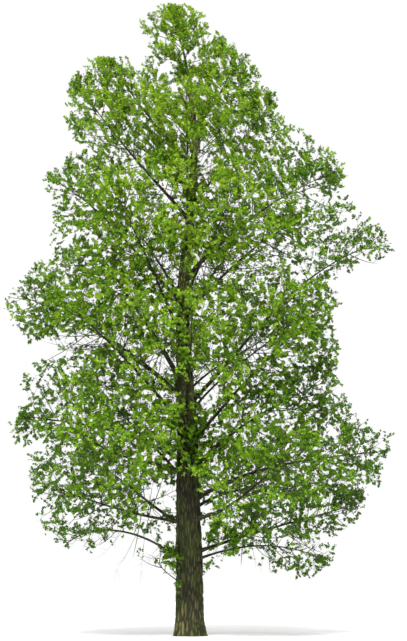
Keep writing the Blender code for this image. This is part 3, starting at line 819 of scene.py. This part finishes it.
    def grow(self):
        """Branches in turns of the golden angle down the limb, as the source's twigs stand on it."""
        path, limb, rng = self.path, self.path.limb, self.rng
        leafy = (path.at(1) - path.at(limb.bare)).length
        count = max(1, round((leafy + limb.across) / self.sizes.branch_spacing))
        step = (LAST_TWIG - FIRST_TWIG) / count
        for k in range(count):
            place = LAST_TWIG - step * (k + rng.random())
            t = limb.bare + (1 - limb.bare) * place
            lean = rng.uniform(*TWIG_LEAN) + INNER_LEAN * (1 - place) ** 2
            way = turned(path.along(t), GOLDEN_ANGLE * k, lean)
            self.grow_branch(path.at(t), self.lifted(way, path.at(t).z, 0))
        for twig in DEAD_TWIGS:
            if twig.limb == limb.name:
                self.grow_dead_twig(twig)
        for stretch in FOOT_SHOOTS:
            if stretch.limb == limb.name:
                self.grow_on_foot(stretch)
        for _ in range(TIP_BRANCHES):
            self.grow_branch(path.at(1), turned(path.along(1), rng.uniform(0, 360), rng.uniform(0, TIP_LEAN)))


def region_of(limb):
    """The part of the crown that a limb's fine wood and leaves are joined in."""
    if limb.tip > TOP_FROM:
        return "top"
    return ("right", "back", "left", "front")[round(limb.bearing / 90) % 4]


@functools.cache
def grow_crown(sizes):
    """The growth of each mass, by region of the crown."""
    noise.seed_set(NOISE_SEED)
    paths = [Path(limb) for limb in LIMBS]
    spaces = [Space(path) for path in paths]
    find_neighbours(spaces)
    limbs = Limbs(paths)
    regions = {}
    for path, space in zip(paths, spaces):
        growth = Growth(path, space, limbs, sizes)
        growth.grow()
        regions.setdefault(region_of(path.limb), []).append(growth)
    sprouts = next(path for path in paths if path.limb.name == "trunk_sprouts")
    on_trunk = Growth(sprouts, OpenAir(), limbs, sizes)
    for stretch in TRUNK_SHOOTS:
        on_trunk.grow_on_trunk(stretch)
    regions[region_of(sprouts.limb)].append(on_trunk)
    return regions


def crown_of(context):
    settings = context.scene.poplar_twigs
    return grow_crown(TwigSizes(*(getattr(settings, name) for name in TwigSizes._fields)))


def add_object(scene, name, data):
    """A new object in the scene, in the place of an older one of that name."""
    old = bpy.data.objects.get(name)
    if old:
        bpy.data.objects.remove(old)
    made = bpy.data.objects.new(name, data)
    scene.collection.objects.link(made)
    return made


def put_piece(context, name, mesh, replaced=()):
    """Places a finished mesh as a piece of the tree, which takes the place of the named nodes."""
    piece = add_object(context.scene, name, mesh)
    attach(piece, BODY)
    if replaced:
        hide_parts(*replaced)


def mesh_of_shape(name, shape, material):
    """A mesh of one material from a bmesh, which is used up."""
    mesh = bpy.data.meshes.new(name)
    shape.to_mesh(mesh)
    shape.free()
    mesh.materials.append(material)
    return mesh


def mesh_of_arrays(name, points, faces):
    """A mesh from an array of points and an array of faces that all have as many corners."""
    mesh = bpy.data.meshes.new(name)
    mesh.vertices.add(len(points))
    mesh.vertices.foreach_set("co", points.astype(np.float32).ravel())
    mesh.loops.add(faces.size)
    mesh.loops.foreach_set("vertex_index", faces.astype(np.int32).ravel())
    mesh.polygons.add(len(faces))
    mesh.polygons.foreach_set("loop_start", np.arange(0, faces.size, faces.shape[1], dtype=np.int32))
    mesh.update(calc_edges=True)
    return mesh


def array_frames(ways):
    """Two unit vectors across each of many directions, as frame_round gives for one."""
    side = np.where(np.abs(ways[:, 2:]) < STEEP, (0.0, 0.0, 1.0), (1.0, 0.0, 0.0))
    side = side - ways * (side * ways).sum(1, keepdims=True)
    side /= np.linalg.norm(side, axis=1, keepdims=True)
    return side, np.cross(side, ways)


def array_turned(ways, turns, leans):
    """Directions that lean off many others, at turns round them, all in degrees."""
    side, over = array_frames(ways)
    turns, leans = np.radians(turns)[:, None], np.radians(leans)[:, None]
    return ways * np.cos(leans) + (side * np.cos(turns) + over * np.sin(turns)) * np.sin(leans)


def unit(ways):
    return ways / np.linalg.norm(ways, axis=1, keepdims=True)


def tubes(lines, foot_radius, tip_radius, sides):
    """Points and triangles of many closed tubes, each tapering along a line of points to a pointed tip."""
    lines = np.array([[tuple(point) for point in line] for line in lines])
    count, stations = lines.shape[:2]
    side, over = array_frames(unit(lines[:, -1] - lines[:, 0]))
    angles = np.arange(sides) * math.tau / sides
    spokes = side[:, None] * np.cos(angles)[:, None] + over[:, None] * np.sin(angles)[:, None]
    radii = np.linspace(foot_radius, tip_radius, stations)[:-1]
    rings = lines[:, :-1, None] + spokes[:, None] * radii[:, None, None]
    points = np.concatenate([rings.reshape(count, -1, 3), lines[:, -1:]], axis=1)
    faces = [(0, k, k + 1) for k in range(1, sides - 1)]
    for start in range(0, (stations - 2) * sides, sides):
        for k in range(sides):
            a, b = start + k, start + (k + 1) % sides
            faces += [(b, a, a + sides), (b, a + sides, b + sides)]
    last, tip = (stations - 2) * sides, (stations - 1) * sides
    faces += [(last + (k + 1) % sides, last + k, tip) for k in range(sides)]
    offsets = np.arange(count)[:, None, None] * points.shape[1]
    return points.reshape(-1, 3), (np.array(faces) + offsets).reshape(-1, 3)


def join_arrays(shapes):
    """One array of points and one of faces from several."""
    points, faces, start = [], [], 0
    for shape_points, shape_faces in shapes:
        points.append(shape_points)
        faces.append(shape_faces + start)
        start += len(shape_points)
    return np.concatenate(points), np.concatenate(faces)


def make_leaves(shoots, settings, rng):
    """Points, faces and tones of the leaves on many shoots."""
    feet, tips = (np.array([tuple(shoot[k]) for shoot in shoots]) for k in (0, 1))
    spans = tips - feet
    counts = np.round(np.linalg.norm(spans, axis=1) * settings.per_metre).astype(int) + TIP_LEAVES
    host = np.repeat(np.arange(len(shoots)), counts)
    order = np.arange(len(host)) - np.repeat(np.cumsum(counts) - counts, counts)
    share = np.minimum((order + LEAF_START) / (counts[host] - 1), 1)
    roots = feet[host] + spans[host] * share[:, None]
    turns = GOLDEN_ANGLE * order + rng.uniform(0, 360, len(shoots))[host]
    leans = rng.uniform(*LEAF_LEAN, len(host)) * np.where(share < 1, 1, TIP_LEAF_LEAN)
    ways = array_turned(unit(spans)[host], turns, leans)
    ways[:, 2] -= LEAF_DROOP
    ways = unit(ways)
    normals = array_turned(ways, rng.normal(0, LEAF_TWIST, len(host)), np.full(len(host), 90.0))
    sizes = settings.length * rng.uniform(*LENGTH_VARIES, len(host))
    middles = roots + ways * sizes[:, None] / 2
    hidden = np.array([in_speck(*seen(Vector(middle))) for middle in middles])
    keep = ~hidden | (rng.random(len(host)) > SPECK_OPEN)
    host, roots, ways, normals, sizes = (each[keep] for each in (host, roots, ways, normals, sizes))
    tones = np.array([shoot.tone for shoot in shoots])[host] + rng.normal(0, LEAF_TONE_VARIES, len(host))
    across = np.cross(normals, ways) * settings.width
    outline = np.array(LEAF_OUTLINE)
    points = roots[:, None] + sizes[:, None, None] * (
        ways[:, None] * outline[:, 0, None] + across[:, None] * outline[:, 1, None]
        + normals[:, None] * outline[:, 2, None]
    )
    faces = np.array(LEAF_FACES) + np.arange(len(roots))[:, None, None] * len(outline)
    tones = np.clip(np.round(tones), 0, LEAF_TONES - 1).astype(np.int32)
    return points.reshape(-1, 3), faces.reshape(-1, 3), np.repeat(tones, len(LEAF_FACES))


def bark_stand(place, width):
    """How high bark stands at a place, from 0 in a furrow to 1 on a ridge: long cells that interlace."""
    waver = noise.noise_vector(place * (WAVERS_PER_WIDTH / width)) * FURROW_WAVER
    cell = Vector((place.x, place.y, place.z / FURROW_STRETCH)) / width + waver
    near, further = noise.voronoi(cell)[0][:2]
    edge = min((further - near) / FURROW_SHARE, 1)
    return edge * edge * (3 - 2 * edge)


class Ring(NamedTuple):
    """One ring of bark: its middle, two unit vectors across, its radius, and how far its lobes stand out."""

    middle: Vector
    side: Vector
    over: Vector
    radius: float
    lobes: float = 0.0


def add_bark(shape, relief, rings, sides, depth):
    """Adds a closed tube of ridged bark to a bmesh: a grid wrapped round the rings, with its seam merged."""
    before = set(shape.verts)
    last = len(rings) - 1
    bmesh.ops.create_grid(shape, x_segments=sides, y_segments=last, size=1)
    made = [vert for vert in shape.verts if vert not in before]
    for vert in made:
        angle = math.pi * (vert.co.x + 1) % math.tau
        ring = rings[round((vert.co.y + 1) / 2 * last)]
        radius = ring.radius + ring.lobes * math.cos(BUTTRESSES * angle)
        out = ring.side * math.cos(angle) + ring.over * math.sin(angle)
        width = BARK_WIDTH[0] + BARK_WIDTH[1] * radius
        stand = bark_stand(ring.middle + out * radius, width)
        vert[relief] = stand
        vert.co = ring.middle + out * (radius * (1 + depth * (stand - BARK_MIDDLE)))
    bmesh.ops.remove_doubles(shape, verts=made, dist=SEAM_MERGE)
    made = [vert for vert in shape.verts if vert not in before]
    open_edges = [edge for vert in made for edge in vert.link_edges if edge.is_boundary]
    bmesh.ops.holes_fill(shape, edges=list(set(open_edges)), sides=0)
    bmesh.ops.recalc_face_normals(shape, faces=list({face for vert in made for face in vert.link_faces}))


def bark_mesh(name, tubes_of_rings, sides, depth, material):
    """A mesh of closed tubes of bark, which keeps the height of the bark at each point for its colour."""
    noise.seed_set(NOISE_SEED)
    shape = bmesh.new()
    relief = shape.verts.layers.float.new("relief")
    for rings in tubes_of_rings:
        add_bark(shape, relief, rings, sides, depth)
    mesh = mesh_of_shape(name, shape, material)
    mesh.shade_smooth()
    return mesh


def trunk_rings():
    """The trunk's rings, with its root flare and buttresses."""
    rings = []
    for k in range(TRUNK_RINGS + 1):
        height = TRUNK_TOP * (k / TRUNK_RINGS) ** RINGS_CROWD_LOW
        side, over = frame_round(trunk_way(height) if k else UP, Vector((1, 0, 0)))
        flare = FLARE * math.exp(-height / FLARE_HEIGHT)
        lobes = BUTTRESS_DEPTH * math.exp(-height / (2 * FLARE_HEIGHT))
        rings.append(Ring(trunk_axis(height), side, over, trunk_radius(height) + flare, lobes))
    return rings


def limb_rings(path):
    """A limb's rings from the trunk's axis to its tip, wider where it leaves the trunk."""
    rings = []
    side = None
    for t in even_shares(path):
        side, over = frame_round(path.along(t), side)
        middle = path.at(t)
        out = (middle - path.at(0)).length - trunk_radius(min(path.limb.foot, TRUNK_TOP))
        collar = 1 + COLLAR * math.exp(-max(out, 0) / COLLAR_LENGTH) * (path.limb.foot < TRUNK_TOP)
        rings.append(Ring(middle, side, over, path.radius(t) * collar))
    return rings


def new_material(name):
    """A new material, in the place of an older one of that name, with its shader."""
    old = bpy.data.materials.get(name)
    if old:
        bpy.data.materials.remove(old)
    material = bpy.data.materials.new(name)
    material.use_nodes = True
    return material, material.node_tree.nodes["Principled BSDF"]


def wire(node, inputs):
    """Gives inputs of a shader node, by their names, a value or a link from another node's output."""
    for name, source in inputs.items():
        if isinstance(source, bpy.types.NodeSocket):
            node.id_data.links.new(source, node.inputs[name])
        else:
            node.inputs[name].default_value = source


def plain_material(name, colour, roughness, specular=0.5):
    """A material of one colour."""
    material, shader = new_material(name)
    wire(shader, {"Base Color": (*colour, 1), "Roughness": roughness, "Specular IOR Level": specular})
    return material


def greys(stops):
    """The stops of a colour ramp from places and brightnesses."""
    return [(place, (brightness,) * 3) for place, brightness in stops]


def bark_material(name, furrow, ridge, moss, moss_share, painted_light):
    """Bark that is dark in its furrows, partly its own colour and partly painted shade, and grey-brown on its
    ridges, under painted light and shade by height, with green patches of moss.
    """
    material, shader = new_material(name)
    nodes = material.node_tree.nodes

    def add(kind, inputs, output):
        node = nodes.new(f"ShaderNode{kind}")
        wire(node, inputs)
        return node.outputs[output]

    def noise_at(scale, vector, detail=4):
        return add("TexNoise", {"Scale": scale, "Detail": detail, "Vector": vector}, "Fac")

    def ramp(factor, stops):
        node = nodes.new("ShaderNodeValToRGB")
        elements = node.color_ramp.elements
        for element, (at, colour) in zip(elements, (stops[0], stops[-1])):
            element.position, element.color = at, (*colour, 1)
        for at, colour in stops[1:-1]:
            elements.new(at).color = (*colour, 1)
        wire(node, {"Fac": factor})
        return node.outputs["Color"]

    def mix(kind, first, second, factor=1):
        node = nodes.new("ShaderNodeMix")
        node.data_type = "RGBA"
        node.blend_type = kind
        wire(node, {"Factor": factor, "A": first, "B": second})
        return node.outputs["Result"]

    place = add("TexCoord", {}, "Object")
    streaks = add("Mapping", {"Scale": (1, 1, STREAKS), "Vector": place}, "Vector")
    height = add("SeparateXYZ", {"Vector": place}, "Z")
    share = add("MapRange", {"From Max": PAINTED_LIGHT_HEIGHT, "Value": height}, "Result")
    relief = nodes.new("ShaderNodeAttribute")
    relief.attribute_name = "relief"
    stand = relief.outputs["Fac"]
    foot, foot_share = RIDGE_FOOT
    # Dark in the furrows: partly the bark's own colour and partly painted shade
    wood = ramp(stand, ((0.0, furrow), (foot, [foot_share * c for c in ridge]), (1.0, ridge)))
    weather = ramp(noise_at(WEATHER_SCALE, streaks, detail=6), WEATHER)
    # The weather's streaks are the bark's own; the ramp by height is painted light and shade
    weathered_and_painted_light = mix("MULTIPLY", mix("MULTIPLY", wood, weather), ramp(share, greys(painted_light)))
    start, full = (edge - MOSS_SPREADS * moss_share for edge in MOSS_EDGE)
    patches = ramp(noise_at(MOSS_SCALE, place, detail=8), greys(((start, 0), (full, 1))))
    grain = [(at, [light * c for c in moss]) for at, light in MOSS_TINTS]
    # The moss is darker in the furrows: painted shade
    mossy = mix("MULTIPLY", ramp(noise_at(MOSS_GRAIN, place), grain), ramp(stand, greys(MOSS_ON_RIDGES)))
    least, most = ROUGHNESS
    rough = {"To Min": least, "To Max": most, "Value": noise_at(ROUGH_SCALE, place)}
    fibres = {"Strength": 0.5, "Distance": FIBRE_DEPTH, "Height": noise_at(FIBRE_SCALE, streaks, detail=6)}
    wire(shader, {
        "Base Color": mix("MIX", weathered_and_painted_light, mossy, patches),
        "Roughness": add("MapRange", rough, "Result"),
        "Normal": add("Bump", fibres, "Normal"),
        "Specular IOR Level": 0.25,
    })
    return material


def leaf_materials(settings):
    """One plain green for each tone, from shaded leaves through full-grown ones to young ones."""
    keys = [Vector(settings.shaded), Vector(settings.grown), Vector(settings.young)]
    colours = (point_on(keys, k / (LEAF_TONES - 1)) for k in range(LEAF_TONES))
    return [
        plain_material(f"leaf_tone_{k}", colour, roughness=0.6, specular=0.1)
        for k, colour in enumerate(colours, 1)
    ]


def colour_setting(name, description, default):
    """A colour that a user may change."""
    return FloatVectorProperty(
        name=name, description=description, default=default, size=3, subtype="COLOR", min=0, max=1,
    )


def amount_setting(name, description, default, least=0):
    """A plain number that a user may change."""
    return FloatProperty(name=name, description=description, default=default, min=least)


def length_setting(name, description, default, least):
    """A length that a user may change."""
    return FloatProperty(name=name, description=description, default=default, min=least, unit="LENGTH")


def share_setting(name, description, default, most):
    """A share of something else that a user may change."""
    return FloatProperty(
        name=name, description=description, default=default, min=0, max=most, subtype="FACTOR",
    )


class PoplarBark(bpy.types.PropertyGroup):
    """Sizes and colours of the bark"""

    depth: share_setting("Furrow depth", "Depth of the furrows as a share of the wood's radius", 0.085, 0.3)
    # The furrows' dark colour is partly the bark's own and partly painted shade
    furrow: colour_setting("Furrows", "Colour deep in the bark", (0.016, 0.016, 0.007))
    ridge: colour_setting("Ridges", "Colour of the old bark's ridges", (0.109, 0.107, 0.041))
    young: colour_setting("Boughs", "Colour of the boughs' bark", (0.1, 0.1, 0.048))
    moss: colour_setting("Moss", "Colour of the moss on the bark", (0.05, 0.066, 0.014))
    moss_share: share_setting("Moss cover", "How much of the trunk the moss covers", 0.5, 1)


class PoplarTwigs(bpy.types.PropertyGroup):
    """Spacing and lengths of the branches, twigs and shoots"""

    branch_spacing: length_setting("Branch spacing", "Distance between branches along a limb", 0.26, 0.08)
    twig_spacing: length_setting("Twig spacing", "Distance between twigs along a branch", 0.2, 0.08)
    twig_length: length_setting("Twig length", "Usual length of a twig near a branch's foot", 0.8, 0.2)
    shoot_spacing: length_setting("Shoot spacing", "Distance between shoots along a twig", 0.11, 0.05)
    shoot_length: length_setting("Shoot length", "Usual length of a leafy shoot", 0.3, 0.1)
    twig_colour: colour_setting("Twigs", "Colour of the twigs' bark", (0.042, 0.056, 0.012))


class PoplarLeaves(bpy.types.PropertyGroup):
    """Size, number and colours of the leaves"""

    length: length_setting("Length", "Usual length of a leaf with its stalk", 0.088, 0.03)
    width: share_setting("Width", "Width of a leaf as a share of its length", 0.92, 1.5)
    per_metre: amount_setting("Leaves per metre", "Number of leaves along a metre of shoot", 49, 1)
    shaded: colour_setting("Shaded leaf", "Darkest green", (0.053, 0.126, 0.0075))
    grown: colour_setting("Full-grown leaf", "Middle green", (0.16, 0.322, 0.012))
    young: colour_setting("Young leaf", "Brightest green", (0.29, 0.43, 0.03))
    seed: IntProperty(name="Seed", description="Changes how the leaves turn", default=7, min=0)


class PoplarStage(bpy.types.PropertyGroup):
    """Floor and light"""

    floor_radius: length_setting("Floor radius", "Radius of the pale floor", 160, 20)
    daylight: amount_setting("Daylight", "Strength of the even white light", 1)
    sun: amount_setting("Sun", "Strength of the soft light from above", 3.6)
    sun_size: FloatProperty(
        name="Sun size", description="Apparent size of the soft light",
        default=math.radians(20), subtype="ANGLE",
    )


class POPLAR_OT_make_trunk(bpy.types.Operator):
    """Makes the trunk with its furrowed bark, from the flat cut at the ground up to the leader"""

    bl_idname = "poplar.make_trunk"
    bl_label = "Trunk"

    def execute(self, context):
        bark = context.scene.poplar_bark
        material = bark_material("old_bark", bark.furrow, bark.ridge, bark.moss, bark.moss_share, TRUNK_PAINTED_LIGHT)
        mesh = bark_mesh("trunk_bark", [trunk_rings()], TRUNK_SIDES, bark.depth, material)
        put_piece(context, "trunk_bark", mesh, ["trunk"])
        return {"FINISHED"}


class POPLAR_OT_make_limbs(bpy.types.Operator):
    """Makes every limb with its bark, from the trunk through its foliage to its tip"""

    bl_idname = "poplar.make_limbs"
    bl_label = "Boughs and limbs"

    def execute(self, context):
        bark = context.scene.poplar_bark
        moss_share = bark.moss_share / 2
        material = bark_material("young_bark", bark.furrow, bark.young, bark.moss, moss_share, LIMBS_PAINTED_LIGHT)
        rings = [limb_rings(Path(limb)) for limb in LIMBS]
        mesh = bark_mesh("limbs", rings, LIMB_SIDES, bark.depth, material)
        boughs = [f"{limb.name}_bough" for limb in LIMBS if limb.bough]
        put_piece(context, "limbs", mesh, boughs)
        return {"FINISHED"}


class POPLAR_OT_make_twigs(bpy.types.Operator):
    """Makes the branches, twigs and shoots, joined by regions of the crown"""

    bl_idname = "poplar.make_twigs"
    bl_label = "Branches and twigs"

    def execute(self, context):
        material = plain_material("twig_bark", context.scene.poplar_twigs.twig_colour, roughness=0.8)
        for region, growths in crown_of(context).items():
            branches = [line for growth in growths for line in growth.branches]
            twigs = [line for growth in growths for line in growth.twigs]
            shoots = [line for growth in growths for line in (*(s[:2] for s in growth.shoots), *growth.dead)]
            shapes = [
                tubes(lines, *radii, sides)
                for lines, radii, sides in zip((branches, twigs, shoots), WOOD_RADII, WOOD_SIDES)
            ]
            mesh = mesh_of_arrays(f"twigs_{region}", *join_arrays(shapes))
            mesh.materials.append(material)
            put_piece(context, f"twigs_{region}", mesh)
        return {"FINISHED"}


class POPLAR_OT_make_leaves(bpy.types.Operator):
    """Makes the leaves on the shoots, joined by regions of the crown, with a green for each tone"""

    bl_idname = "poplar.make_leaves"
    bl_label = "Leaves"

    def execute(self, context):
        settings = context.scene.poplar_leaves
        materials = leaf_materials(settings)
        rng = np.random.default_rng(settings.seed)
        for region, growths in crown_of(context).items():
            shoots = [shoot for growth in growths for shoot in growth.shoots]
            points, faces, tones = make_leaves(shoots, settings, rng)
            mesh = mesh_of_arrays(f"leaves_{region}", points, faces)
            for material in materials:
                mesh.materials.append(material)
            mesh.polygons.foreach_set("material_index", tones)
            masses = dict.fromkeys(f"{growth.path.limb.name}_foliage" for growth in growths)
            put_piece(context, f"leaves_{region}", mesh, masses)
        return {"FINISHED"}


class POPLAR_OT_make_stage(bpy.types.Operator):
    """Makes the pale floor, the soft light and the camera at the viewer's eye"""

    bl_idname = "poplar.make_stage"
    bl_label = "Floor, light and camera"

    def execute(self, context):
        scene = context.scene
        settings = scene.poplar_stage
        shape = bmesh.new()
        bmesh.ops.create_circle(shape, cap_ends=True, segments=96, radius=settings.floor_radius)
        pale = plain_material("pale_floor", (0.95, 0.95, 0.95), roughness=0.9)
        floor = add_object(scene, "floor", mesh_of_shape("floor", shape, pale))
        floor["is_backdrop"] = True

        scene.world = bpy.data.worlds.new("daylight")
        scene.world.use_nodes = True
        sky = scene.world.node_tree.nodes["Background"].inputs
        sky["Color"].default_value = (1, 1, 1, 1)
        sky["Strength"].default_value = settings.daylight
        light = bpy.data.lights.new("soft_sun", "SUN")
        light.energy, light.angle = settings.sun, settings.sun_size
        add_object(scene, "soft_sun", light).rotation_euler = SUN_FROM.to_track_quat("Z", "Y").to_euler()

        lens = bpy.data.cameras.new("viewer")
        lens.lens, lens.sensor_width = LENS, SENSOR
        lens.clip_end = 4 * settings.floor_radius
        scene.camera = add_object(scene, "viewer", lens)
        scene.camera.location = EYE
        scene.camera.rotation_euler = (math.radians(90 + CAMERA_TILT), 0, 0)
        scene.view_settings.view_transform = "Standard"
        return {"FINISHED"}


SETTINGS = {
    "poplar_bark": PoplarBark,
    "poplar_twigs": PoplarTwigs,
    "poplar_leaves": PoplarLeaves,
    "poplar_stage": PoplarStage,
}
OPERATORS = (
    POPLAR_OT_make_stage,
    POPLAR_OT_make_trunk,
    POPLAR_OT_make_limbs,
    POPLAR_OT_make_twigs,
    POPLAR_OT_make_leaves,
)


class POPLAR_PT_tree(bpy.types.Panel):
    """Lists the tree's settings and what makes its pieces"""

    bl_idname = "POPLAR_PT_tree"
    bl_label = "Hybrid Poplar"
    bl_space_type = "VIEW_3D"
    bl_region_type = "UI"
    bl_category = "Poplar"

    def draw(self, context):
        for name, group in SETTINGS.items():
            box = self.layout.box()
            for setting in group.__annotations__:
                box.prop(getattr(context.scene, name), setting)
        for operator in OPERATORS:
            self.layout.operator(operator.bl_idname)


def register():
    for cls in (*SETTINGS.values(), *OPERATORS, POPLAR_PT_tree):
        bpy.utils.register_class(cls)
    for name, group in SETTINGS.items():
        setattr(bpy.types.Scene, name, PointerProperty(type=group))


def unregister():
    for name in SETTINGS:
        delattr(bpy.types.Scene, name)
    for cls in reversed((*SETTINGS.values(), *OPERATORS, POPLAR_PT_tree)):
        bpy.utils.unregister_class(cls)


def main():
    register()
    bpy.ops.poplar.make_stage()
    bpy.ops.poplar.make_trunk()
    bpy.ops.poplar.make_limbs()
    bpy.ops.poplar.make_twigs()
    bpy.ops.poplar.make_leaves()
    boxes = {"cad": cad_box, "visual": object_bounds()}
    {name: [list(corner) for corner in box] for name, box in boxes.items()}


if __name__ == "__main__":
    main()
